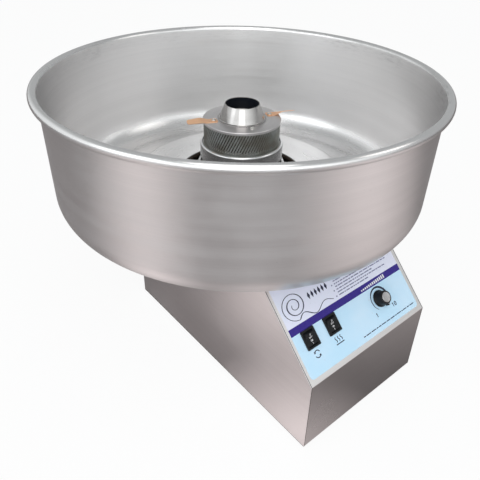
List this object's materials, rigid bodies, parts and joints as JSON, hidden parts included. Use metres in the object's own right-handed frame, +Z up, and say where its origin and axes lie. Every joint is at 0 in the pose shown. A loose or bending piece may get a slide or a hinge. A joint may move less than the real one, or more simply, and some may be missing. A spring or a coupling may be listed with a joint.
{
  "type": "cotton candy machine",
  "caption": "Tabletop cotton candy machine: a wide spun bowl on a folded steel cabinet with a sloping control panel, round a spinning sugar head with a slotted band, funnel and lift vanes.",
  "frame": {"origin": "on the surface that the feet stand on, under the spin axis, which is also the middle of the bowl", "axes": "+Z up along the spin axis, -Y towards the operator and the control slope, +X to the operator's right"},
  "size_m": [0.6603, 0.6604, 0.4879],
  "materials": {
    "stainless": "brushed",
    "spun_aluminium": "satin spun",
    "polished_metal": "polished",
    "band_steel": "heat darkened",
    "ribbon_alloy": "oxidised",
    "vane_copper": "satin",
    "plated_steel": "bright",
    "rubber": "matte",
    "black_plastic": "moulded",
    "panel_film": "printed film",
    "brass": "plain",
    "control_casting": "anodised",
    "motor_paint": "semi-gloss",
    "motor_casting": "cast",
    "core_steel": "laminated",
    "winding_copper": "enamelled",
    "phenolic": "moulded",
    "carbon": "dull",
    "white_plastic": "moulded",
    "wire_cover": "smooth",
    "ceramic": "unglazed"
  },
  "bodies": {
    "cabinet": {"left_side_panel": "stainless", "right_side_panel": "stainless", "front_panel": "stainless", "top_panel": "stainless", "rear_panel": "stainless", "bottom_tray": "stainless", "rubber_feet": "rubber", "foot_screws": "plated_steel", "panel_screws": "plated_steel", "control_label": "panel_film", "motor_switch_housing": "black_plastic", "heat_switch_housing": "black_plastic", "switch_terminals": "brass", "heat_control_body": "control_casting", "heat_control_nut": "plated_steel", "motor_plate": "plated_steel", "motor_isolators": "rubber", "motor_plate_screws": "plated_steel", "motor_case": "motor_paint", "motor_upper_bell": "motor_casting", "motor_lower_bell": "motor_casting", "motor_tie_rods": "plated_steel", "stator_core": "core_steel", "field_coils": "winding_copper", "upper_bearing": "plated_steel", "lower_bearing": "plated_steel", "motor_shroud": "polished_metal", "brush_holder": "phenolic", "carbon_brushes": "carbon", "brush_springs": "plated_steel", "terminal_block": "white_plastic", "wiring_harness": "wire_cover", "cord_gland": "black_plastic", "gland_nut": "black_plastic", "bowl_seat": "plated_steel", "bowl_gasket": "rubber", "top_screws": "plated_steel"},
    "spinner": {"motor_shaft": "plated_steel", "motor_rotor": "core_steel", "cooling_fan": "black_plastic", "slip_ring_hub": "phenolic", "slip_rings": "brass", "head_cup": "polished_metal", "head_base": "plated_steel", "element_insulators": "ceramic", "heating_ribbon": "ribbon_alloy", "slotted_band": "band_steel", "head_lid": "polished_metal", "sugar_funnel": "polished_metal", "lift_vanes": "vane_copper", "head_screws": "plated_steel", "head_nut": "brass"},
    "bowl": {"bowl": "spun_aluminium"},
    "motor_rocker": {"motor_rocker": "black_plastic"},
    "heat_rocker": {"heat_rocker": "black_plastic"},
    "heat_knob": {"heat_knob": "black_plastic", "knob_cap": "polished_metal", "heat_control_shaft": "plated_steel", "knob_set_screw": "plated_steel"}
  },
  "joints": [
    {"name": "head_spin", "type": "hinge", "parent": "cabinet", "child": "spinner", "pos_m": [0, 0, 0.3], "axis": [0, 0, 1], "continuous": true},
    {"name": "bowl_lift", "type": "slide", "parent": "cabinet", "child": "bowl", "axis": [0, 0, 1], "range_m": [0, 0.18]},
    {"name": "motor_switch_rock", "type": "hinge", "parent": "cabinet", "child": "motor_rocker", "pos_m": [-0.1007, -0.28467, 0.18108], "axis": [-1, 0, 0], "range_deg": [0, 18]},
    {"name": "heat_switch_rock", "type": "hinge", "parent": "cabinet", "child": "heat_rocker", "pos_m": [-0.0539, -0.28467, 0.18108], "axis": [-1, 0, 0], "range_deg": [0, 18]},
    {"name": "heat_knob_turn", "type": "hinge", "parent": "cabinet", "child": "heat_knob", "pos_m": [0.0564, -0.29224, 0.17776], "axis": [0, -0.7071, 0.7071], "range_deg": [0, 300]}
  ]
}
